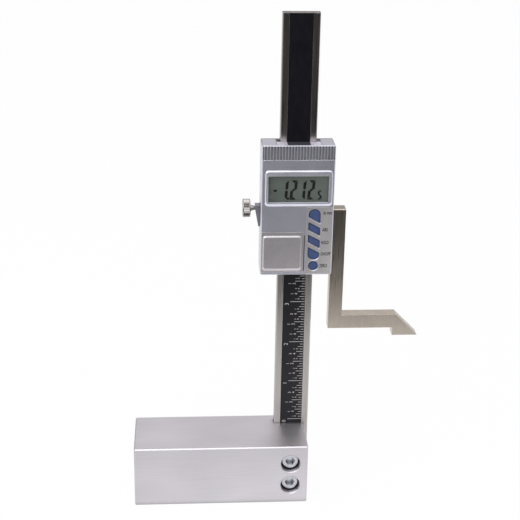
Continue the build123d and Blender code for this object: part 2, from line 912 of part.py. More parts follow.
with BuildPart() as key_overlay:
    with BuildSketch(facing(overlay_back)):
        span(
            (overlay_span[0] + seat_gap, overlay_span[1] - seat_gap),
            (overlay_rise[0] + seat_gap, overlay_rise[1] - seat_gap),
        )
        for hole in overlay_holes:
            add(hole, mode=Mode.SUBTRACT)
    extrude(amount=overlay_thickness)
finish(key_overlay, "key_overlay")

# ---------------------------------------------------------------- display and electronics

fitted_span = (lens_span[0] + seat_gap, lens_span[1] - seat_gap)
fitted_rise = (lens_rise[0] + seat_gap, lens_rise[1] - seat_gap)

with BuildPart() as display_lens:
    block(fitted_span, (lens_front, lens_back), fitted_rise)
finish(display_lens, "display_lens")

with BuildPart() as lcd_panel:
    block(fitted_span, (lens_back, lcd_back), fitted_rise)
finish(lcd_panel, "lcd_panel")

holder_inner_span = (fitted_span[0] + holder_bar, fitted_span[1] - holder_bar)
holder_inner_rise = (fitted_rise[0] + holder_bar, fitted_rise[1] - holder_bar)

with BuildPart() as lcd_holder:
    with BuildSketch(facing(board_front)):
        span(fitted_span, fitted_rise)
        span(holder_inner_span, holder_inner_rise, Mode.SUBTRACT)
    extrude(amount=board_front - lcd_back)
finish(lcd_holder, "lcd_holder")

with BuildPart() as zebra_strip:
    block(
        (holder_inner_span[0] + zebra_end_gap, holder_inner_span[1] - zebra_end_gap),
        (lcd_back, board_front),
        (holder_inner_rise[0] + seat_gap, holder_inner_rise[0] + zebra_height),
    )
finish(zebra_strip, "zebra_strip")

board_low = up(end_wall + board_low_gap)
board_high = up(case_height - lug_height) - board_low_gap

with BuildPart() as circuit_board:
    with BuildSketch(facing(web_front)):
        board_inset = side_wall + board_side_gap
        span((case_left + board_inset, case_right - board_inset), (board_low, board_high))
        with Locations(*[point for point in case_screw_points if point[1] < board_high]):
            Circle(case_boss_radius + board_side_gap, mode=Mode.SUBTRACT)
    extrude(amount=board_thickness)
finish(circuit_board, "circuit_board")

with BuildPart() as sensor_plate:
    block(
        (beam_x - scale_width / 2 + sensor_margin, beam_x + scale_width / 2 - sensor_margin),
        (web_front, beam_front),
        (up(sensor_low) + sensor_margin, up(case_height - sensor_high_gap) - sensor_margin),
    )
finish(sensor_plate, "sensor_plate")

with BuildPart() as chip_cap:
    with BuildSketch(facing(board_front)):
        with Locations((cell_x, up((door_high + bezel_low) / 2))):
            Circle(chip_radius)
    extrude(amount=chip_height)
    fillet(chip_cap.edges().group_by(Axis.Y)[0], radius=chip_height / 2)
finish(chip_cap, "chip_cap")

key_x = across(key_left + key_width / 2)
switch_heights = [
    up(zero_key_z),
    up(power_arc_z),
    up(hold_left_low + (slanted_key_height - key_slant) / 2),
    up(abs_left_low + (slanted_key_height - key_slant) / 2),
    up(units_arc_z),
]

with BuildPart() as key_switches:
    with BuildSketch(facing(board_front)):
        with Locations(*[(key_x, z) for z in switch_heights]):
            Rectangle(switch_size, switch_size)
    extrude(amount=board_front - mat_back)
finish(key_switches, "key_switches")

with BuildPart() as key_mat:
    block(
        (across(key_left - key_flange), across(key_left + key_width + key_flange)),
        (mat_front, mat_back),
        (up(key_bottom_margin - key_flange), up(keys_top + key_flange)),
    )
finish(key_mat, "key_mat")

# ---------------------------------------------------------------- coin cell, contacts and door

with BuildPart() as coin_cell:
    with BuildSketch(facing(cell_back)):
        with Locations((cell_x, cell_z)):
            Circle(cell_radius)
    extrude(amount=cell_height)
    fillet(coin_cell.edges().group_by(Axis.Y)[-1], radius=contact_thickness)
    chamfer(coin_cell.edges().group_by(Axis.Y)[0], length=contact_thickness)
finish(coin_cell, "coin_cell")

with BuildPart() as negative_contact:
    block(
        (cell_x - contact_width / 2 + seat_gap, cell_x + contact_width / 2 - seat_gap),
        (cell_back, cell_back + contact_thickness),
        (cell_z - cell_radius / 2, cell_z + cell_radius / 2),
    )
    block(
        (cell_x - contact_width / 2 + seat_gap, cell_x + contact_width / 2 - seat_gap),
        (cell_back + contact_thickness, board_front),
        (cell_z - contact_thickness / 2, cell_z + contact_thickness / 2),
    )
finish(negative_contact, "negative_contact")

positive_right = across(door_width - pocket_wall) - seat_gap

with BuildPart() as positive_contact:
    block(
        (positive_right - contact_thickness, positive_right),
        (cell_front, board_front),
        (cell_z - contact_width / 2, cell_z + contact_width / 2),
    )
finish(positive_contact, "positive_contact")

with BuildPart() as battery_door:
    block(
        (case_left, across(door_width) - seam_gap),
        (case_front, wall_back),
        (up(door_low) + seam_gap, up(door_high) - seam_gap),
    )
    chamfer(
        battery_door.edges().group_by(Axis.Y)[0].filter_by(Axis.Z).sort_by(Axis.X)[0],
        length=case_edge_chamfer,
    )
    block(
        (across(side_wall + seam_gap), across(door_width) - 2 * seam_gap),
        (door_groove[0] + seam_gap, wall_back),
        (up(door_low - door_tongue) + seam_gap, up(door_high + door_tongue) - seam_gap),
    )
    block(
        (case_left, across(side_wall)),
        (wall_back, door_lip_back - seam_gap),
        (up(door_low) + seam_gap, up(door_high) - seam_gap),
    )
    pad_centre = (
        across((door_pad_margin_left + door_width - door_pad_margin_right) / 2),
        up((door_low + door_pad_margin_bottom + door_high - door_pad_margin_top) / 2),
    )
    pad_size = (
        door_width - door_pad_margin_left - door_pad_margin_right,
        door_high - door_low - door_pad_margin_bottom - door_pad_margin_top,
    )
    raise_pad(pad_centre, pad_size, door_rise, door_pad_corner)
finish(battery_door, "battery_door")

# ---------------------------------------------------------------- scriber arm

with BuildPart() as scriber_arm:
    with BuildSketch(facing(arm_back)):
        with BuildLine():
            Polyline(
                (case_right, arm_top),
                (case_right, arm_bar_low),
                (arm_tip_x - arm_foot_length, arm_bar_low),
                (arm_tip_x - arm_foot_length, foot_z),
                (arm_tip_x, foot_z),
                (arm_tip_x - (arm_bar_high - foot_z), arm_bar_high),
                (case_right + arm_width, arm_bar_high),
                (case_right + arm_width, arm_top),
                close=True,
            )
        make_face()
    extrude(amount=arm_depth)
    chamfer(scriber_arm.edges().group_by(Axis.Z)[-1], length=arm_edge_chamfer)
    with on_plane(from_left(case_right + arm_width), arm_screw_points):
        CounterSinkHole(
            arm_screw_radius + running_gap,
            arm_head_radius + running_gap,
            depth=arm_width,
            counter_sink_angle=90,
        )
finish(scriber_arm, "scriber_arm")

with BuildPart() as arm_screws:
    head_depth = arm_head_radius - arm_screw_radius
    for point in arm_screw_points:
        with BuildSketch(from_left(case_right + arm_width)):
            with Locations(point):
                Circle(arm_head_radius)
        with BuildSketch(from_left(case_right + arm_width - head_depth)):
            with Locations(point):
                Circle(arm_screw_radius)
        loft()
    with BuildSketch(from_left(case_right + arm_width - head_depth)):
        with Locations(*arm_screw_points):
            Circle(arm_screw_radius)
    extrude(amount=-(arm_width - head_depth + arm_screw_grip))
    with BuildSketch(from_left(case_right + arm_width)):
        with Locations(*arm_screw_points):
            RegularPolygon(arm_hex_across / 2, 6, major_radius=False)
    extrude(amount=-arm_hex_depth, mode=Mode.SUBTRACT)
finish(arm_screws, "arm_screws")

print("foot of the arm above the underside:", round(foot_z, 3))
print("travel of the slider, up and down:", round(travel_up, 3), round(travel_down, 3))
print("bottom of the slider:", case_bottom, "top:", round(up(case_height), 2))
print("turn of the lock screw over its stroke, degrees:", round(360 * lock_stroke / lock_pitch, 1))
print("pad travel per radian, metres:", lock_pitch / 1000 / (2 * math.pi))
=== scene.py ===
"""A digital height gauge: finishes, printed marks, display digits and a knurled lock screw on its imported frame."""

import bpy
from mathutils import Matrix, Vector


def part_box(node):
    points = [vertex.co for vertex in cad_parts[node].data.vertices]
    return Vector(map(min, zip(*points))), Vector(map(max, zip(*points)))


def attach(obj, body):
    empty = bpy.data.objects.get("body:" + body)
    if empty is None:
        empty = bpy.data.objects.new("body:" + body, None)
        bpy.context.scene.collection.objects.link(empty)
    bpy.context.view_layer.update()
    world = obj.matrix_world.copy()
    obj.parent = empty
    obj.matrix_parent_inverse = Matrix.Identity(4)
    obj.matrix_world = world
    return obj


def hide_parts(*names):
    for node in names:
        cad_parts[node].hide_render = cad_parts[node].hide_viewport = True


bl_info = {
    "name": "Digital Height Gauge",
    "version": (1, 0, 0),
    "blender": (4, 5, 0),
    "location": "3D View > Sidebar > Height Gauge",
    "description": "Dresses the frame of a digital height gauge and sets it in a plain studio",
    "category": "Object",
}

import math

import bmesh
import bpy
from bpy.props import FloatProperty, FloatVectorProperty, IntProperty, PointerProperty
from bpy.types import Operator, Panel, PropertyGroup
from mathutils import Matrix, Vector

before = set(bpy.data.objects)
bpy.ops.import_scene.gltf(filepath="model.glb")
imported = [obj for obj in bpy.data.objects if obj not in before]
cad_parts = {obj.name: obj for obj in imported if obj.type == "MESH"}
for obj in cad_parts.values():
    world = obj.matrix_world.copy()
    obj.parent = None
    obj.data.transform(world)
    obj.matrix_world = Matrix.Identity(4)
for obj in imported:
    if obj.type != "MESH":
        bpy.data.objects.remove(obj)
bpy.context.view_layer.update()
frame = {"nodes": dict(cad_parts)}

MM = 0.001
INCH = 25.4 * MM
PRINT_SINK = 0.01 * MM              # how far a print's back lies in the surface that it is on
CASE_RISE = 0.8 * MM                # how far the case's raised parts stand in front of its main face


# ---------------------------------------------------------------- helpers


def linear(hex_colour):
    """An sRGB hex colour as linear red, green, blue and alpha."""
    parts = [int(hex_colour[i:i + 2], 16) / 255 for i in (1, 3, 5)]
    return tuple(c / 12.92 if c <= 0.04045 else ((c + 0.055) / 1.055) ** 2.4 for c in parts) + (1.0,)


def colour(name, description, hex_colour):
    """A colour setting."""
    return FloatVectorProperty(
        name=name, description=description, subtype="COLOR", size=4, min=0, max=1, default=linear(hex_colour)
    )


def length(name, description, millimetres):
    """A length setting."""
    return FloatProperty(
        name=name, description=description, subtype="DISTANCE", unit="LENGTH", default=millimetres * MM, precision=5
    )


def add(tree, kind, inputs=None, **settings):
    """Adds a node with its settings, and sets each input to a value or links it to an output."""
    made = tree.nodes.new(kind)
    for key, value in settings.items():
        setattr(made, key, value)
    for key, value in (inputs or {}).items():
        if isinstance(value, bpy.types.NodeSocket):
            tree.links.new(value, made.inputs[key])
        else:
            made.inputs[key].default_value = value
    return made


def set_stops(ramp, stops):
    """Gives a colour ramp its (place, colour) stops."""
    elements = ramp.color_ramp.elements
    while len(elements) < len(stops):
        elements.new(0.5)
    for element, (place, shade) in zip(elements, stops):
        element.position = place
        element.color = shade


def blank_material(name):
    """A material with an empty node tree."""
    material = bpy.data.materials.new(name)
    material.use_nodes = True
    material.node_tree.nodes.clear()
    return material, material.node_tree


def grain_of(tree, size, detail=3.0, roughness=0.55):
    """Noise whose features have a real size in millimetres along x, y and z."""
    place = add(tree, "ShaderNodeTexCoord").outputs["Object"]
    mapped = add(tree, "ShaderNodeMapping", {"Vector": place, "Scale": [1 / (s * MM) for s in size]})
    return add(
        tree, "ShaderNodeTexNoise",
        {"Vector": mapped.outputs["Vector"], "Scale": 1.0, "Detail": detail, "Roughness": roughness},
    ).outputs["Fac"]


def scaled(tree, shade, factor):
    """A colour output with its light scaled by a factor output."""
    return add(tree, "ShaderNodeVectorMath", {0: shade, "Scale": factor}, operation="SCALE").outputs["Vector"]


def either(tree, one, other):
    """The larger of two outputs: 1 where a ray is of one kind or the other."""
    return add(tree, "ShaderNodeMath", {0: one, 1: other}, operation="MAXIMUM").outputs["Value"]


def surface(
    name, shades, gloss, grain, relief=0.0, rounding=0.12, patches=None, fade=None, painted_corner_shade=None, painted_edge_shading=None, **sockets
):
    """A principled surface. shades are its darker and lighter colour, gloss its lower and higher
    roughness, grain the size of its texture in mm, relief that texture's height in mm, rounding the
    radius of its broken edges in mm, patches the size in mm of slow changes of shade, fade an axis
    with two (place, share of the light) pairs along it, grime the width in mm of the painted shade
    that darkens its corners, wear the colour painted on its edges as a highlight or a shade, and
    sockets the shader's own fixed values."""
    material, tree = blank_material(name)
    texture = grain_of(tree, grain)
    tint = add(tree, "ShaderNodeValToRGB", {"Fac": texture})
    set_stops(tint, [(0.3, shades[0]), (0.7, shades[1])])
    shade = tint.outputs["Color"]
    if patches:
        cloud = add(
            tree, "ShaderNodeMapRange",
            {
                "Value": grain_of(tree, patches, detail=1.0), "From Min": 0.3, "From Max": 0.7,
                "To Min": 0.9, "To Max": 1.0,
            },
        )
        shade = scaled(tree, shade, cloud.outputs["Result"])
    if fade:
        axis, (start, low), (end, high) = fade
        place = add(tree, "ShaderNodeSeparateXYZ", {"Vector": add(tree, "ShaderNodeTexCoord").outputs["Object"]})
        along = add(
            tree, "ShaderNodeMapRange",
            {"Value": place.outputs[axis], "From Min": start, "From Max": end, "To Min": low, "To Max": high},
        )
        shade = scaled(tree, shade, along.outputs["Result"])
    edge = add(tree, "ShaderNodeBevel", {"Radius": rounding * MM}, samples=4)
    # Painted shading on the edges: where the rounded normal turns from the flat one, the edge colour is painted in,
    # lighter as a highlight or darker as shade.
    if painted_edge_shading:
        flat = add(tree, "ShaderNodeNewGeometry").outputs["Normal"]
        turn = add(tree, "ShaderNodeVectorMath", {0: edge.outputs["Normal"], 1: flat}, operation="DOT_PRODUCT")
        edge_shading_mask = add(
            tree, "ShaderNodeMapRange",
            {"Value": turn.outputs["Value"], "From Min": 0.995, "From Max": 0.9, "To Min": 0.0, "To Max": 0.8},
        )
        shade = add(
            tree, "ShaderNodeMix", {0: edge_shading_mask.outputs["Result"], 6: shade, 7: painted_edge_shading}, data_type="RGBA"
        ).outputs[2]
    # Painted shade: where ambient occlusion finds the surface closed in, in corners, creases and recesses, the colour
    # is darkened.
    if painted_corner_shade:
        open_sky = add(tree, "ShaderNodeAmbientOcclusion", {"Distance": painted_corner_shade * MM}, samples=6)
        corner_shade = add(
            tree, "ShaderNodeMapRange",
            {"Value": open_sky.outputs["AO"], "From Min": 0.35, "From Max": 0.9, "To Min": 0.45, "To Max": 1.0},
        )
        shade = scaled(tree, shade, corner_shade.outputs["Result"])
    rough = add(
        tree, "ShaderNodeMapRange",
        {"Value": texture, "From Min": 0.3, "From Max": 0.7, "To Min": gloss[0], "To Max": gloss[1]},
    )
    bump = add(
        tree, "ShaderNodeBump",
        {"Height": texture, "Distance": relief * MM, "Strength": 1.0, "Normal": edge.outputs["Normal"]},
    )
    shader = add(
        tree, "ShaderNodeBsdfPrincipled",
        {"Base Color": shade, "Roughness": rough.outputs["Result"], "Normal": bump.outputs["Normal"], **sockets},
    )
    add(tree, "ShaderNodeOutputMaterial", {"Surface": shader.outputs["BSDF"]})
    return material


def dress(material, *nodes):
    """Gives CAD nodes a material."""
    for name in nodes:
        materials = frame["nodes"][name].data.materials
        materials.clear()
        materials.append(material)


def piece(name, mesh_builder, material, body):
    """Turns a bmesh into a piece that rides on a body and takes the given material."""
    mesh = bpy.data.meshes.new(name)
    mesh_builder.to_mesh(mesh)
    mesh_builder.free()
    mesh.materials.append(material)
    made = bpy.data.objects.new(name, mesh)
    bpy.context.scene.collection.objects.link(made)
    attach(made, body)
    return made


def centre_of(node):
    """The middle of a CAD node's box."""
    low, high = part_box(node)
    return (low + high) / 2


def add_plate(builder, outline, front, back, chamfer=0.0):
    """Adds a plate that faces the front, from a convex outline of (x, z) points run anticlockwise,
    with a chamfer round its front face."""
    middle = sum((Vector(p) for p in outline), Vector((0, 0))) / len(outline)
    levels = [(front, 0.0), (back, 0.0)]
    if chamfer:
        levels = [(front, chamfer), (front + chamfer, 0.0), (back, 0.0)]
    rings = []
    for y, inset in levels:
        points = [
            (x - math.copysign(inset, x - middle.x), z - math.copysign(inset, z - middle.y)) for x, z in outline
        ]
        rings.append([builder.verts.new((x, y, z)) for x, z in points])
    builder.faces.new(rings[0])
    builder.faces.new(list(reversed(rings[-1])))
    for one, other in zip(rings, rings[1:]):
        for i in range(len(outline)):
            j = (i + 1) % len(outline)
            builder.faces.new((one[j], one[i], other[i], other[j]))


def add_lettering(builder, words, middle, height, front, depth, width=None, turned=False, weight=0.0):
    """Adds words as raised print round a middle (x, z), upright or turned a quarter turn to the left,
    as wide as the font makes them or squeezed to a width, and bolder by a weight."""
    curve = bpy.data.curves.new("lettering", "FONT")
    curve.body = words
    curve.extrude = 0.5
    curve.offset = weight
    curve.resolution_u = 3
    holder = bpy.data.objects.new("lettering", curve)
    mesh = bpy.data.meshes.new_from_object(holder)
    low = Vector([min(v.co[i] for v in mesh.vertices) for i in range(3)])
    high = Vector([max(v.co[i] for v in mesh.vertices) for i in range(3)])
    size = height / (high.y - low.y)
    stretch = width / (high.x - low.x) if width else size
    moved = Matrix.Translation((middle[0], front + depth / 2, middle[1]))
    if turned:
        moved @= Matrix.Rotation(math.radians(-90), 4, "Y")
    moved @= Matrix.Rotation(math.radians(90), 4, "X")
    moved @= Matrix.Diagonal((stretch, size, depth, 1.0))
    moved @= Matrix.Translation(-(low + high) / 2)
    mesh.transform(moved)
    builder.from_mesh(mesh)
    bpy.data.objects.remove(holder)
    bpy.data.curves.remove(curve)
    bpy.data.meshes.remove(mesh)


# ---------------------------------------------------------------- settings


class MetalSettings(PropertyGroup):
    base: colour("Base", "Anodised aluminium of the base block", "#DCD8DE")
    beam: colour("Beam", "Ground stainless steel of the beam", "#C0BCB9")
    frame: colour("Slider frame", "Nickel plated zinc of the slider frame", "#D5D1DF")
    arm: colour("Scriber arm", "Ground tool steel of the scriber arm", "#C8BEB2")
    screws: colour("Screws", "Zinc plated steel of the screws", "#CBCDD3")
    nickel: colour("Nickel", "Nickel plated brass of the lock screw", "#AAA7A6")
    brass: colour("Brass", "Brass of the gib strip and lock pad", "#C7A660")


class PlasticSettings(PropertyGroup):
    case: colour("Case", "Silver painted ABS of the front case", "#D9D9E6")
    door: colour("Battery door", "Silver painted ABS of the battery door", "#D8D3D8")
    film: colour("Key film", "Printed polyester film round the keys", "#D5D1D3")
    key: colour("Keys", "Moulded blue silicone keys", "#384976")
    label: colour("Scale label", "Black printed film of the scale", "#121118")
    rubber: colour("Rubber", "Black rubber of the wipers", "#2B2933")


class ScaleSettings(PropertyGroup):
    division: length("Division", "Distance between two marks", 25.4 / 16)
    inches: IntProperty(name="Inches", description="Length of the scale in whole inches", default=6, min=1)
    zero_above_label: length("Zero", "Height of the zero mark above the label's foot", 7.2)
    line: length("Line width", "Width of a mark", 0.28)
    right_gap: length("Right gap", "From the marks to the label's right edge", 0.15)
    sixteenth: length("Sixteenth", "Length of the shortest marks", 1.9)
    eighth: length("Eighth", "Length of the marks at each eighth", 3.1)
    quarter: length("Quarter", "Length of the marks at each quarter", 3.9)
    half: length("Half", "Length of the marks at each half", 5.7)
    inch: length("Inch", "Length of the marks at each inch", 8.1)
    print_depth: length("Print", "How far the print stands proud", 0.02)
    ink: colour("Ink", "White ink of the scale", "#BDB9B7")


class DisplaySettings(PropertyGroup):
    digit_height: length("Digit height", "Height of the large digits", 11.1)
    digit_width: length("Digit width", "Width of the large digits", 3.5)
    digit_pitch: length("Digit pitch", "From one large digit to the next", 4.85)
    digits_left: length("Digits left", "From the window's left edge to the first digit", 7.7)
    digits_foot: length("Digits foot", "From the window's lower edge to the foot of the digits", 1.8)
    stroke: length("Stroke", "Width of a digit's strokes", 1.5)
    small_height: length("Small height", "Height of the small last digit", 5.2)
    small_width: length("Small width", "Width of the small last digit", 2.3)
    slant: FloatProperty(name="Slant", description="Lean of the digits", subtype="ANGLE", default=math.radians(4.5))
    window_chamfer: length("Window chamfer", "Chamfer round the face of the window", 0.25)
    glass: colour("Glass", "Grey green of the liquid crystal's ground", "#6C746E")
    dark: colour("Segments", "Segments that are switched on", "#060706")


class LegendSettings(PropertyGroup):
    height: length("Height", "Height of the words beside the keys", 2.0)
    print_depth: length("Print", "How far the print stands proud", 0.015)
    ink: colour("Ink", "Dark grey ink of the words", "#18141A")


class LockScrewSettings(PropertyGroup):
    knob_width: length("Knob width", "Length of the knurled head", 4.4)
    shank_radius: length("Shank radius", "Outer radius of the thread", 1.25)
    thread_pitch: length("Thread pitch", "Pitch of the thread", 0.45)
    neck_radius: length("Neck radius", "Radius of the neck where it leaves the head", 1.8)
    neck_gap: length("Neck gap", "From the end of the neck to the slider frame", 0.4)
    ridges: IntProperty(name="Ridges", description="Number of knurled ridges", default=34, min=8)
    ridge_depth: length("Ridge depth", "Depth of the knurling", 0.3)
    edge: length("Edge", "Chamfer at the ends of the head", 0.25)


class StageSettings(PropertyGroup):
    camera_place: FloatVectorProperty(
        name="Camera", description="Where the camera stands", subtype="TRANSLATION", unit="LENGTH",
        default=(-0.02058, -0.61838, 0.39434),
    )
    camera_down: FloatProperty(
        name="Down", description="How far the camera looks down", subtype="ANGLE", default=math.radians(21.88)
    )
    camera_right: FloatProperty(
        name="Right", description="How far the camera is turned to the right", subtype="ANGLE",
        default=math.radians(3.91),
    )
    camera_roll: FloatProperty(
        name="Roll", description="How far the camera leans", subtype="ANGLE", default=math.radians(0.94)
    )
    lens: FloatProperty(name="Lens", description="Focal length on a 36 mm sensor", default=83.35, min=10)
    floor_front: length("Floor front", "How far the floor reaches in front of the gauge", 240)
    floor_reach: length("Floor reach", "How far the floor reaches to the sides and the back", 3000)
    floor: colour("Floor", "Matt white paper of the floor", "#F2F2F4")
    lamp_place: FloatVectorProperty(
        name="Lamp place", description="Where the soft lamp hangs", subtype="TRANSLATION", unit="LENGTH",
        default=(-0.55, -0.75, 1.15),
    )
    lamp_power: FloatProperty(name="Lamp", description="Power of the soft lamp", unit="POWER", default=17.0, min=0)
    lamp_size: length("Lamp size", "Side of the square soft lamp", 2000)
    sky: FloatProperty(name="Sky", description="Strength of the light from all round", default=0.74, min=0)


GROUPS = {
    "gauge_metals": MetalSettings,
    "gauge_plastics": PlasticSettings,
    "gauge_scale": ScaleSettings,
    "gauge_display": DisplaySettings,
    "gauge_legends": LegendSettings,
    "gauge_lock_screw": LockScrewSettings,
    "gauge_stage": StageSettings,
}


def settings(name):
    """One of the scene's groups of settings."""
    return getattr(bpy.context.scene, name)


def shaded(shade, share):
    """A colour with its light scaled by a share."""
    return tuple(min(1.0, c * share) for c in shade[:3]) + (1.0,)


# ---------------------------------------------------------------- metals


def anodised_aluminium():
    """Extruded aluminium, linished and anodised: a pale satin with faint lines along its length."""
    base = settings("gauge_metals").base
    # Painted shade: its corners and counterbores are darkened, and its edges painted darker against the lamp's
    # highlight.
    return surface(
        "anodised_aluminium_linished", (shaded(base, 0.93), base), (0.4, 0.48), (22.0, 0.6, 0.6), relief=0.002,
        rounding=0.3, patches=(40.0, 25.0, 25.0), painted_corner_shade=3.0, painted_edge_shading=shaded(base, 0.78), Metallic=1.0,
    )


def ground_stainless():
    """Stainless strip, surface ground: fine streaks run its whole length and stretch what it reflects."""
    beam = settings("gauge_metals").beam
    # Painted shade and highlight: darker towards the top of the beam, and its edges painted lighter.
    return surface(
        "stainless_steel_ground", (shaded(beam, 0.85), beam), (0.24, 0.36), (0.45, 0.45, 30.0), relief=0.004,
        rounding=0.35, patches=(1.6, 3.0, 60.0), fade=("Z", (0.19, 1.0), (0.25, 0.75)), painted_edge_shading=shaded(beam, 1.3),
        Metallic=1.0,
    )


def ground_tool_steel():
    """Hardened tool steel, surface ground: warmer than stainless, with cross grain and a few dull stains."""
    arm = settings("gauge_metals").arm
    # Painted light: lighter towards the foot of the arm and darker towards its top, and its edges painted lighter.
    return surface(
        "tool_steel_ground", (shaded(arm, 0.9), arm), (0.26, 0.36), (0.5, 0.5, 14.0), relief=0.004,
        rounding=0.25, patches=(5.0, 4.0, 12.0), fade=("Z", (0.098, 1.2), (0.15, 0.85)), painted_edge_shading=shaded(arm, 1.3),
        Metallic=1.0,
    )


def nickel_plated_zinc():
    """Die cast zinc under satin nickel: soft and a little wavy where the casting cooled. It is painted darker
    below as shade and lighter at the top, where its lugs hold the beam, as a highlight; its corners are
    painted darker as shade and its edges lighter as a highlight."""
    plate = settings("gauge_metals").frame
    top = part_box("slider_frame")[1].z
    return surface(
        "zinc_die_cast_nickel_plated", (shaded(plate, 0.9), plate), (0.4, 0.5), (2.4, 2.4, 2.4), relief=0.006,
        rounding=0.2, fade=("Z", (top - 14 * MM, 0.55), (top - 8 * MM, 1.25)), painted_corner_shade=1.2, painted_edge_shading=shaded(plate, 1.2),
        Metallic=0.75,
    )


def plated_screw_steel():
    """Cold formed steel under bright zinc: mirror-like, with soft die marks that break its highlights."""
    plate = settings("gauge_metals").screws
    # Painted shade in the sockets and corners, and painted highlights on the edges.
    return surface(
        "steel_cold_formed_zinc_plated", (shaded(plate, 0.85), plate), (0.12, 0.22), (1.1, 1.1, 1.1), relief=0.004,
        rounding=0.15, painted_corner_shade=2.2, painted_edge_shading=shaded(plate, 1.15), Metallic=1.0,
    )


def pressed_plate_steel():
    """Pressed stainless sheet, brushed across: a plain cover with straight hairlines."""
    plate = settings("gauge_metals").beam
    # Its edges are painted lighter as a highlight.
    return surface(
        "stainless_sheet_brushed", (shaded(plate, 0.85), shaded(plate, 1.1)), (0.3, 0.42), (18.0, 1.0, 0.35),
        relief=0.003, rounding=0.2, patches=(14.0, 4.0, 20.0), painted_edge_shading=shaded(plate, 1.3), Metallic=1.0,
    )


def nickel_plated_brass():
    """Turned and knurled brass under bright nickel: small facets that flash light and dark."""
    plate = settings("gauge_metals").nickel
    # Its edges are painted lighter as a highlight.
    return surface(
        "brass_turned_nickel_plated", (shaded(plate, 0.88), plate), (0.14, 0.24), (0.3, 1.5, 1.5), relief=0.003,
        rounding=0.08, painted_edge_shading=shaded(plate, 1.2), Metallic=1.0,
    )


def drawn_brass():
    """Drawn brass bar, left bright from the die: warm yellow with lines along it and a brown tarnish."""
    brass = settings("gauge_metals").brass
    # Its edges are painted lighter as a highlight.
    return surface(
        "brass_drawn", (shaded(brass, 0.75), brass), (0.28, 0.42), (0.5, 0.5, 9.0), relief=0.003,
        rounding=0.15, patches=(4.0, 4.0, 8.0), painted_edge_shading=shaded(brass, 1.3), Metallic=1.0,
    )


def sprung_contact_metal():
    """Phosphor bronze strip, rolled and tin plated: a dull light metal with a rolled grain."""
    return surface(
        "phosphor_bronze_tin_plated", (linear("#A9A39B"), linear("#C9C3BA")), (0.3, 0.45), (6.0, 1.0, 0.5),
        relief=0.002, rounding=0.05, Metallic=1.0,
    )


def deep_drawn_cell_can():
    """Nickel plated steel can, deep drawn: bright, with a faint orange peel from the drawing."""
    return surface(
        "steel_deep_drawn_nickel_plated", (linear("#C4C4C6"), linear("#D8D8DA")), (0.26, 0.36), (1.6, 1.6, 1.6),
        relief=0.0003, rounding=0.3, patches=(9.0, 9.0, 9.0), Metallic=1.0,
    )


# ---------------------------------------------------------------- plastics, rubber, prints


def silver_painted_abs(name, base, raised=1.0):
    """Moulded ABS under silver paint: metal flakes give the grey a soft shine. Its edges are painted white as a
    highlight, its corners painted darker as shade and its raised parts painted lighter as a highlight. The flakes
    are 0.6 mm here, coarser than real ones, so that they show."""
    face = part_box("front_case")[0].y
    # Painted highlight: the parts that stand in front of the main face are made brighter by the share raised.
    return surface(
        name, (shaded(base, 0.9), shaded(base, 1.05)), (0.28, 0.38), (0.6, 0.6, 0.6), relief=0.003, rounding=0.25,
        patches=(16.0, 6.0, 16.0), fade=("Y", (face + 0.3 * MM, raised), (face + CASE_RISE, 1.0)), painted_corner_shade=0.9,
        painted_edge_shading=linear("#FFFFFF"), Metallic=0.77,
    )


def printed_polyester():
    """Polyester film, printed silver behind a matt face: smooth and paler than the case."""
    film = settings("gauge_plastics").film
    low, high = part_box("key_overlay")
    # Lighter towards the right; its edges round the keys are painted lighter as a highlight, and its corners painted
    # darker as shade.
    return surface(
        "polyester_film_screen_printed", (shaded(film, 0.94), film), (0.4, 0.48), (0.9, 0.9, 0.9), relief=0.001,
        rounding=0.2, patches=(8.0, 4.0, 14.0), fade=("X", (low.x, 1.0), (high.x, 1.25)), painted_corner_shade=0.6,
        painted_edge_shading=shaded(film, 1.4), Metallic=0.85,
    )


def moulded_silicone():
    """Pigmented silicone, compression moulded: soft satin blue, a shade uneven where it is thick."""
    key = settings("gauge_plastics").key
    # Painted shade: its edges are painted dark and its corners darker, for the shadow in the wells round the keys.
    return surface(
        "silicone_compression_moulded", (shaded(key, 0.8), shaded(key, 1.12)), (0.45, 0.58), (0.8, 0.8, 0.8),
        relief=0.006, rounding=0.6, painted_corner_shade=1.4, painted_edge_shading=shaded(key, 0.35),
        **{"Subsurface Weight": 0.08, "Subsurface Scale": 0.0008},
    )


def printed_label():
    """Aluminium foil label, printed black and laminated: deep black under a smooth satin film."""
    label = settings("gauge_plastics").label
    return surface(
        "foil_label_laminated", (shaded(label, 0.75), shaded(label, 1.2)), (0.3, 0.38), (1.2, 1.2, 7.0), relief=0.001,
        rounding=0.05, patches=(9.0, 4.0, 50.0), **{"Specular IOR Level": 0.35},
    )


def screen_ink(name, ink):
    """Screen printed ink: dense and matt, thinner in places where the mesh has left less of it."""
    return surface(name, (shaded(ink, 0.8), ink), (0.55, 0.7), (0.35, 0.35, 0.35), relief=0.001, rounding=0.01)


def liquid_crystal_glass():
    """Reflective liquid crystal panel: grey green ground with the fine pearl of its rear reflector."""
    glass = settings("gauge_display").glass
    low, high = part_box("lcd_panel")
    # Painted light: lighter towards the right of the panel.
    return surface(
        "liquid_crystal_reflective", (shaded(glass, 0.92), shaded(glass, 1.06)), (0.35, 0.42), (0.5, 0.5, 0.5),
        rounding=0.05, patches=(14.0, 6.0, 9.0), fade=("X", (low.x, 1.0), (high.x, 1.3)),
    )


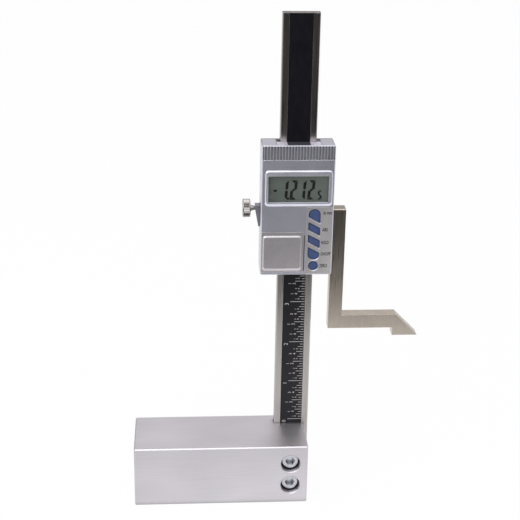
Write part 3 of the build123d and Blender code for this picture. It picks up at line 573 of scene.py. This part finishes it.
def moulded_acrylic():
    """Clear acrylic, injection moulded and polished: what is behind it shows, under a faint wavy gloss."""
    material, tree = blank_material("acrylic_injection_moulded")
    wave = grain_of(tree, (9.0, 9.0, 9.0), detail=1.0)
    bump = add(tree, "ShaderNodeBump", {"Height": wave, "Distance": 0.01 * MM, "Strength": 1.0})
    clear = add(tree, "ShaderNodeBsdfTransparent", {"Color": linear("#F8F8F8")})
    dust = add(
        tree, "ShaderNodeMapRange",
        {"Value": grain_of(tree, (1.2, 1.2, 1.2)), "From Min": 0.35, "From Max": 0.8, "To Min": 0.03, "To Max": 0.09},
    )
    gloss = add(
        tree, "ShaderNodeBsdfAnisotropic",
        {"Color": linear("#FFFFFF"), "Roughness": dust.outputs["Result"], "Normal": bump.outputs["Normal"]},
    )
    glance = add(tree, "ShaderNodeLayerWeight", {"Blend": 0.5, "Normal": bump.outputs["Normal"]})
    steep = add(tree, "ShaderNodeMath", {0: glance.outputs["Facing"], 1: 5.0}, operation="POWER")
    mirror = add(
        tree, "ShaderNodeMapRange", {"Value": steep.outputs["Value"], "To Min": 0.04, "To Max": 1.0}
    )
    both = add(
        tree, "ShaderNodeMixShader",
        {0: mirror.outputs["Result"], 1: clear.outputs["BSDF"], 2: gloss.outputs["BSDF"]},
    )
    add(tree, "ShaderNodeOutputMaterial", {"Surface": both.outputs["Shader"]})
    return material


def nitrile_rubber(name, base):
    """Moulded nitrile rubber: near black, with a dull bloom that greys it unevenly."""
    return surface(
        name, (base, shaded(base, 1.9)), (0.6, 0.8), (0.7, 0.7, 0.7), relief=0.01, rounding=0.15,
        patches=(4.0, 4.0, 4.0),
    )


def glass_epoxy_board(name, dark, light):
    """Glass epoxy laminate under solder resist: the glass cloth's 0.6 mm weave shows through."""
    return surface(
        name, (linear(dark), linear(light)), (0.3, 0.4), (0.6, 2.0, 0.6), relief=0.004, rounding=0.05,
        patches=(6.0, 6.0, 6.0),
    )


def moulded_engineering_plastic(name, dark, light):
    """Glass filled nylon, injection moulded: matt, with pale fibre specks along the flow."""
    return surface(
        name, (linear(dark), linear(light)), (0.5, 0.65), (0.5, 0.5, 2.5), relief=0.008, rounding=0.12,
        patches=(5.0, 5.0, 5.0),
    )


def cast_epoxy():
    """Black potting epoxy, poured over a chip: a smooth domed gloss with tiny craters."""
    return surface(
        "epoxy_potted", (linear("#0B0B0C"), linear("#1A1A1C")), (0.12, 0.24), (0.9, 0.9, 0.9), relief=0.02,
        rounding=0.3,
    )


# ---------------------------------------------------------------- pieces


class GAUGE_OT_base(Operator):
    """Finishes the base block and its two socket head screws"""

    bl_idname = "gauge.base"
    bl_label = "Base"

    def execute(self, context):
        dress(anodised_aluminium(), "base_block")
        dress(plated_screw_steel(), "base_screws", "beam_stop_screw", "gib_screws", "case_screws")
        return {"FINISHED"}


class GAUGE_OT_beam(Operator):
    """Finishes the steel beam, the label and the grating under it"""

    bl_idname = "gauge.beam"
    bl_label = "Beam"

    def execute(self, context):
        dress(ground_stainless(), "beam")
        dress(printed_label(), "scale_label")
        dress(glass_epoxy_board("glass_epoxy_black_resist", "#0E0E12", "#1C1C22"), "scale_grating")
        return {"FINISHED"}


class GAUGE_OT_scale_marks(Operator):
    """Prints the marks and numbers of the inch scale on the label"""

    bl_idname = "gauge.scale_marks"
    bl_label = "Scale marks"

    def execute(self, context):
        scale = settings("gauge_scale")
        low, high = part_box("scale_label")
        right = high.x - scale.right_gap
        zero = low.z + scale.zero_above_label
        front = low.y - scale.print_depth
        back = low.y + PRINT_SINK
        per_inch = round(INCH / scale.division)
        lengths = {1: scale.inch, 2: scale.half, 4: scale.quarter, 8: scale.eighth}
        # Per kind of fraction: the middle and height of its numbers, left of the marks, in mm.
        numbers = {1: (-10.2, 2.2), 2: (-8.75, 1.7), 4: (-7.3, 1.55), 8: (-5.0, 1.0)}
        builder = bmesh.new()
        for count in range(scale.inches * per_inch + 1):
            z = zero + count * scale.division
            whole, part = divmod(count, per_inch)
            share = per_inch // math.gcd(part, per_inch)
            reach = lengths.get(share, scale.sixteenth)
            half = scale.line / 2
            corners = [(right - reach, z - half), (right, z - half), (right, z + half), (right - reach, z + half)]
            add_plate(builder, corners, front, back)
            if share not in numbers:
                continue
            middle, tall = numbers[share]
            words = [str(whole)] if share == 1 else [str(part * share // per_inch), str(share)]
            for i, word in enumerate(words):
                place = (right + (middle + i * 1.45 * tall) * MM, z - 1.45 * MM)
                add_lettering(builder, word, place, tall * MM, front, back - front, turned=True)
        piece("scale_marks", builder, screen_ink("white_ink_screen_printed", scale.ink), "stand")
        return {"FINISHED"}


class GAUGE_OT_slider_body(Operator):
    """Finishes the slider's metal frame, back plate, gib strip and wipers"""

    bl_idname = "gauge.slider_body"
    bl_label = "Slider body"

    def execute(self, context):
        dress(nickel_plated_zinc(), "slider_frame")
        dress(pressed_plate_steel(), "back_plate")
        dress(plated_screw_steel(), "back_plate_screws", "arm_screws")
        dress(drawn_brass(), "gib_strip", "lock_pad")
        black = settings("gauge_plastics").rubber
        dress(nitrile_rubber("nitrile_rubber_moulded", black), "wiper_top", "wiper_bottom")
        return {"FINISHED"}


class GAUGE_OT_case(Operator):
    """Finishes the painted case, the battery door and the film round the keys"""

    bl_idname = "gauge.case"
    bl_label = "Case"

    def execute(self, context):
        plastics = settings("gauge_plastics")
        # The case's raised parts take a painted highlight, 1.3 times as bright.
        dress(silver_painted_abs("abs_moulded_silver_painted", plastics.case, raised=1.3), "front_case")
        dress(silver_painted_abs("abs_door_silver_painted", plastics.door), "battery_door")
        dress(printed_polyester(), "key_overlay")
        # A painted shadow: a dark strip stands in the seam along the door's right edge, shorter than the door, where
        # the gap is in shade.
        foot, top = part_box("battery_door")
        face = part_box("front_case")[0].y + CASE_RISE
        near, far = top.x + 0.08 * MM, top.x + 0.5 * MM
        low, high = foot.z + 1.2 * MM, top.z - 2.5 * MM
        builder = bmesh.new()
        add_plate(builder, [(near, low), (far, low), (far, high), (near, high)], face - 0.03 * MM, face + PRINT_SINK)
        piece(
            "door_seam_shadow", builder, nitrile_rubber("seam_shadow_strip", plastics.rubber), "slider"
        )
        return {"FINISHED"}


# The segments that each digit shows, named as on a seven segment display.
DIGIT_SEGMENTS = {"1": "bc", "2": "abged", "5": "afgcd"}


class GAUGE_OT_display(Operator):
    """Finishes the display window and panel, and draws its digits"""

    bl_idname = "gauge.display"
    bl_label = "Display"

    def segments(self, builder, digit, corner, size, stroke, lean, front, back):
        """Adds one seven segment digit of a (width, height) whose lower left corner is at (x, z)."""
        width, height = size
        middle, gap = height / 2, stroke * 0.08

        def upright(outer, inner, end, way):
            tip = (outer + inner) / 2
            return [
                (outer, end), (inner, end - way * stroke), (inner, middle + way * stroke / 2),
                (tip, middle + way * gap), (outer, middle + way * stroke / 2),
            ]

        outlines = {
            "a": [
                (gap, height), (stroke + gap, height - stroke), (width - stroke - gap, height - stroke),
                (width - gap, height),
            ],
            "b": upright(width, width - stroke, height - gap, 1),
            "c": upright(width, width - stroke, gap, -1),
            "d": [(gap, 0.0), (width - gap, 0.0), (width - stroke - gap, stroke), (stroke + gap, stroke)],
            "e": upright(0.0, stroke, gap, -1),
            "f": upright(0.0, stroke, height - gap, 1),
            "g": [
                (stroke / 2 + gap, middle), (stroke, middle - stroke / 2), (width - stroke, middle - stroke / 2),
                (width - stroke / 2 - gap, middle), (width - stroke, middle + stroke / 2),
                (stroke, middle + stroke / 2),
            ],
        }
        for name in DIGIT_SEGMENTS[digit]:
            leaning = [(corner[0] + x + z * math.tan(lean), corner[1] + z) for x, z in outlines[name]]
            add_plate(builder, leaning, front, back)

    def execute(self, context):
        display = settings("gauge_display")
        dress(liquid_crystal_glass(), "lcd_panel")
        (x0, front, z0), (x1, back, z1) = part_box("display_lens")
        builder = bmesh.new()
        add_plate(
            builder, [(x0, z0), (x1, z0), (x1, z1), (x0, z1)], front, back - 0.1 * MM, display.window_chamfer
        )
        window = piece("display_window", builder, moulded_acrylic(), "slider")
        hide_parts("display_lens")

        panel_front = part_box("lcd_panel")[0].y
        front, back = panel_front - 0.03 * MM, panel_front + PRINT_SINK
        foot, left = z0 + display.digits_foot, x0 + display.digits_left
        builder = bmesh.new()
        for i, digit in enumerate("1212"):
            corner = (left + i * display.digit_pitch, foot)
            size = (display.digit_width, display.digit_height)
            self.segments(builder, digit, corner, size, display.stroke, display.slant, front, back)
        corner = (left + 4 * display.digit_pitch + 0.6 * MM, foot)
        size = (display.small_width, display.small_height)
        self.segments(builder, "5", corner, size, display.stroke * 0.7, display.slant, front, back)
        # The decimal point and the minus sign: middle, half width and half height.
        dot = display.stroke * 0.4
        point = (left + display.digit_width + 0.5 * MM, foot + dot, dot, dot)
        minus = (x0 + 4.6 * MM, foot + 5.2 * MM, 0.9 * MM, 0.6 * MM)
        for x, z, half, rise in (point, minus):
            corners = [(x - half, z - rise), (x + half, z - rise), (x + half, z + rise), (x - half, z + rise)]
            add_plate(builder, corners, front, back)
        bmesh.ops.recalc_face_normals(builder, faces=builder.faces)
        piece(
            "display_digits", builder, screen_ink("liquid_crystal_switched_on", display.dark), "slider"
        )
        return {"FINISHED"}


class GAUGE_OT_keys(Operator):
    """Finishes the five keys and prints the words beside them"""

    bl_idname = "gauge.keys"
    bl_label = "Keys"

    def execute(self, context):
        legends = settings("gauge_legends")
        dress(moulded_silicone(), "key_units", "key_abs", "key_hold", "key_power", "key_zero")
        # Per word, in mm: its middle's place left of the film's right edge and above the foot of the
        # case, and its width.
        words = {
            "in mm": (2.5, 36.7, 4.6), "ABS": (3.7, 26.85, 3.0), "HOLD": (3.5, 19.3, 4.2),
            "ON/OFF": (2.95, 12.5, 5.5), "ZERO": (3.97, 5.4, 4.35),
        }
        film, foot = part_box("key_overlay"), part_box("front_case")[0].z
        front = film[0].y - legends.print_depth
        depth = legends.print_depth + PRINT_SINK
        builder = bmesh.new()
        for word, (inwards, rise, wide) in words.items():
            place = (film[1].x - inwards * MM, foot + rise * MM)
            add_lettering(builder, word, place, legends.height, front, depth, width=wide * MM, weight=0.02)
        piece("key_legends", builder, screen_ink("grey_ink_screen_printed", legends.ink), "slider")
        return {"FINISHED"}


class GAUGE_OT_lock_screw(Operator):
    """Builds the knurled lock screw with its threaded shank"""

    bl_idname = "gauge.lock_screw"
    bl_label = "Lock screw"

    def execute(self, context):
        screw = settings("gauge_lock_screw")
        low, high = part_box("lock_screw")
        middle = (low + high) / 2
        knob = (high.z - low.z) / 2
        knob_end = low.x + screw.knob_width
        neck_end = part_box("slider_frame")[0].x - screw.neck_gap
        ring_count = screw.ridges * 2
        # Stations along the axis: place, radius and depth of the ridges there.
        stations = [
            (low.x, knob * 0.3, 0.0),
            (low.x, knob - screw.edge - screw.ridge_depth, 0.0),
            (low.x + screw.edge, knob, 0.0),
            (low.x + 2 * screw.edge, knob, 0.0),
            (low.x + 2.4 * screw.edge, knob, screw.ridge_depth),
            (knob_end - 2.4 * screw.edge, knob, screw.ridge_depth),
            (knob_end - 2 * screw.edge, knob, 0.0),
            (knob_end - screw.edge, knob, 0.0),
            (knob_end, knob - screw.edge - screw.ridge_depth, 0.0),
            (knob_end, screw.neck_radius, 0.0),
            (neck_end, screw.shank_radius, 0.0),
        ]
        builder = bmesh.new()

        def ring_at(x, reach_of):
            ring = []
            for i in range(ring_count):
                turn, reach = math.tau * i / ring_count, reach_of(i)
                place = (x, middle.y + reach * math.cos(turn), middle.z + reach * math.sin(turn))
                ring.append(builder.verts.new(place))
            return ring

        rings = []
        for x, radius, depth in stations:
            rings.append(ring_at(x, lambda i: radius - depth * (i % 2)))
        step = screw.thread_pitch / 6
        thread_depth = 0.6 * screw.thread_pitch
        for k in range(int((high.x - neck_end) / step)):
            x = min(neck_end + (k + 0.5) * step, high.x)
            turns = (x - neck_end) / screw.thread_pitch

            def thread_reach(i):
                return screw.shank_radius - thread_depth * abs(2 * ((turns - i / ring_count) % 1.0) - 1)

            rings.append(ring_at(x, thread_reach))
        for one, other in zip(rings, rings[1:]):
            for i in range(ring_count):
                j = (i + 1) % ring_count
                builder.faces.new((one[i], other[i], other[j], one[j]))
        builder.faces.new(rings[0])
        builder.faces.new(list(reversed(rings[-1])))
        bmesh.ops.recalc_face_normals(builder, faces=builder.faces)
        made = piece("knurled_lock_screw", builder, nickel_plated_brass(), "lock_screw")
        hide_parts("lock_screw")
        return {"FINISHED"}


class GAUGE_OT_scriber(Operator):
    """Finishes the scriber arm"""

    bl_idname = "gauge.scriber"
    bl_label = "Scriber arm"

    def execute(self, context):
        dress(ground_tool_steel(), "scriber_arm")
        return {"FINISHED"}


class GAUGE_OT_inner_parts(Operator):
    """Finishes the parts inside the slider"""

    bl_idname = "gauge.inner_parts"
    bl_label = "Inner parts"

    def execute(self, context):
        dress(moulded_engineering_plastic("nylon_glass_filled_white", "#B9B7AE", "#D8D6CC"), "lcd_holder")
        dress(nitrile_rubber("conductive_rubber_layered", linear("#2A2A2E")), "zebra_strip")
        dress(glass_epoxy_board("glass_epoxy_green_resist", "#0E4A2E", "#1B6B41"), "circuit_board", "sensor_plate")
        dress(cast_epoxy(), "chip_cap")
        dress(moulded_engineering_plastic("nylon_glass_filled_black", "#141416", "#26262A"), "key_switches")
        dress(nitrile_rubber("silicone_mat_moulded", linear("#4A4A50")), "key_mat")
        dress(deep_drawn_cell_can(), "coin_cell")
        dress(sprung_contact_metal(), "negative_contact", "positive_contact")
        return {"FINISHED"}


# ---------------------------------------------------------------- stage


class GAUGE_OT_stage(Operator):
    """Sets the floor, the light and the camera"""

    bl_idname = "gauge.stage"
    bl_label = "Stage"

    def paper(self, stage):
        """Matt white paper: what looks at it sees white, and the gauge's shadow stays on it."""
        material, tree = blank_material("paper_matt_white")
        fibre = add(tree, "ShaderNodeValToRGB", {"Fac": grain_of(tree, (3.0, 3.0, 3.0))})
        set_stops(fibre, [(0.2, shaded(stage.floor, 0.985)), (0.8, stage.floor)])
        lit = add(tree, "ShaderNodeBsdfDiffuse", {"Color": fibre.outputs["Color"]})
        glow = add(tree, "ShaderNodeEmission", {"Color": linear("#FFFFFF"), "Strength": 1.0})
        rays = add(tree, "ShaderNodeLightPath").outputs
        seen = either(tree, rays["Is Camera Ray"], rays["Is Glossy Ray"])
        seen = either(tree, seen, rays["Is Transmission Ray"])
        # The last twentieth stays lit paper, so the shadow shows faintly.
        share = add(tree, "ShaderNodeMath", {0: seen, 1: 0.95}, operation="MULTIPLY")
        both = add(
            tree, "ShaderNodeMixShader",
            {0: share.outputs["Value"], 1: lit.outputs["BSDF"], 2: glow.outputs["Emission"]},
        )
        add(tree, "ShaderNodeOutputMaterial", {"Surface": both.outputs["Shader"]})
        return material

    def studio(self, stage):
        """White for the eye, even light for the object, and a room for what it reflects: bright
        above, grey at the walls and dark below the table's front edge."""
        world = bpy.data.worlds.new("studio")
        world.use_nodes = True
        tree = world.node_tree
        tree.nodes.clear()
        direction = add(tree, "ShaderNodeTexCoord").outputs["Generated"]
        upwards = add(tree, "ShaderNodeSeparateXYZ", {"Vector": direction}).outputs["Z"]
        height = add(tree, "ShaderNodeMapRange", {"Value": upwards, "From Min": -1.0, "From Max": 1.0})
        room = add(tree, "ShaderNodeValToRGB", {"Fac": height.outputs["Result"]})
        greys = {0.0: "#1C1A1A", 0.53: "#262424", 0.66: "#D2D0D0", 0.85: "#FFFFFF"}
        set_stops(room, [(place, linear(grey)) for place, grey in greys.items()])
        rays = add(tree, "ShaderNodeLightPath").outputs
        walls = add(tree, "ShaderNodeBackground", {"Color": room.outputs["Color"], "Strength": 1.0})
        soft = add(tree, "ShaderNodeBackground", {"Color": linear("#FFFFFF"), "Strength": stage.sky})
        white = add(tree, "ShaderNodeBackground", {"Color": linear("#FFFFFF"), "Strength": 1.0})
        lit = add(
            tree, "ShaderNodeMixShader",
            {0: rays["Is Glossy Ray"], 1: soft.outputs["Background"], 2: walls.outputs["Background"]},
        )
        seen = either(tree, rays["Is Camera Ray"], rays["Is Transmission Ray"])
        all_rays = add(
            tree, "ShaderNodeMixShader", {0: seen, 1: lit.outputs["Shader"], 2: white.outputs["Background"]}
        )
        add(tree, "ShaderNodeOutputWorld", {"Surface": all_rays.outputs["Shader"]})
        bpy.context.scene.world = world

    def execute(self, context):
        stage = settings("gauge_stage")
        scene = bpy.context.scene
        reach, front = stage.floor_reach, stage.floor_front
        builder = bmesh.new()
        corners = [(-reach, -front), (reach, -front), (reach, reach), (-reach, reach)]
        builder.faces.new([builder.verts.new((x, y, 0.0)) for x, y in corners])
        mesh = bpy.data.meshes.new("paper_floor")
        builder.to_mesh(mesh)
        builder.free()
        mesh.materials.append(self.paper(stage))
        floor = bpy.data.objects.new("paper_floor", mesh)
        scene.collection.objects.link(floor)
        self.studio(stage)

        lamp = bpy.data.lights.new("soft_lamp", "AREA")
        lamp.energy = stage.lamp_power
        lamp.size = stage.lamp_size
        holder = bpy.data.objects.new("soft_lamp", lamp)
        holder.location = stage.lamp_place
        holder.rotation_euler = (-Vector(holder.location)).to_track_quat("-Z", "Y").to_euler()
        scene.collection.objects.link(holder)

        camera = bpy.data.cameras.new("camera")
        camera.sensor_width = 36.0
        camera.lens = stage.lens
        camera.clip_start = 0.05
        camera.clip_end = 20.0
        eye = bpy.data.objects.new("camera", camera)
        turn = Matrix.Rotation(-stage.camera_right, 4, "Z")
        turn @= Matrix.Rotation(math.radians(90) - stage.camera_down, 4, "X")
        turn @= Matrix.Rotation(stage.camera_roll, 4, "Z")
        eye.matrix_world = Matrix.Translation(stage.camera_place) @ turn
        scene.collection.objects.link(eye)
        scene.camera = eye
        scene.view_settings.view_transform = "Standard"
        return {"FINISHED"}


OPERATORS = (
    GAUGE_OT_stage,
    GAUGE_OT_base,
    GAUGE_OT_beam,
    GAUGE_OT_scale_marks,
    GAUGE_OT_slider_body,
    GAUGE_OT_case,
    GAUGE_OT_display,
    GAUGE_OT_keys,
    GAUGE_OT_lock_screw,
    GAUGE_OT_scriber,
    GAUGE_OT_inner_parts,
)


class GAUGE_PT_panel(Panel):
    """Lists the gauge's pieces in the sidebar"""

    bl_idname = "GAUGE_PT_panel"
    bl_label = "Height Gauge"
    bl_space_type = "VIEW_3D"
    bl_region_type = "UI"
    bl_category = "Height Gauge"

    def draw(self, context):
        for operator in OPERATORS:
            self.layout.operator(operator.bl_idname)
        for name, group in GROUPS.items():
            box = self.layout.box()
            for setting in group.__annotations__:
                box.prop(getattr(context.scene, name), setting)


def register():
    for group in GROUPS.values():
        bpy.utils.register_class(group)
    for name, group in GROUPS.items():
        setattr(bpy.types.Scene, name, PointerProperty(type=group))
    for operator in OPERATORS:
        bpy.utils.register_class(operator)
    bpy.utils.register_class(GAUGE_PT_panel)


def unregister():
    bpy.utils.unregister_class(GAUGE_PT_panel)
    for operator in reversed(OPERATORS):
        bpy.utils.unregister_class(operator)
    for name in GROUPS:
        delattr(bpy.types.Scene, name)
    for group in reversed(list(GROUPS.values())):
        bpy.utils.unregister_class(group)


def main():
    register()
    bpy.ops.gauge.stage()
    bpy.ops.gauge.base()
    bpy.ops.gauge.beam()
    bpy.ops.gauge.scale_marks()
    bpy.ops.gauge.slider_body()
    bpy.ops.gauge.case()
    bpy.ops.gauge.display()
    bpy.ops.gauge.keys()
    bpy.ops.gauge.lock_screw()
    bpy.ops.gauge.scriber()
    bpy.ops.gauge.inner_parts()


if __name__ == "__main__":
    main()
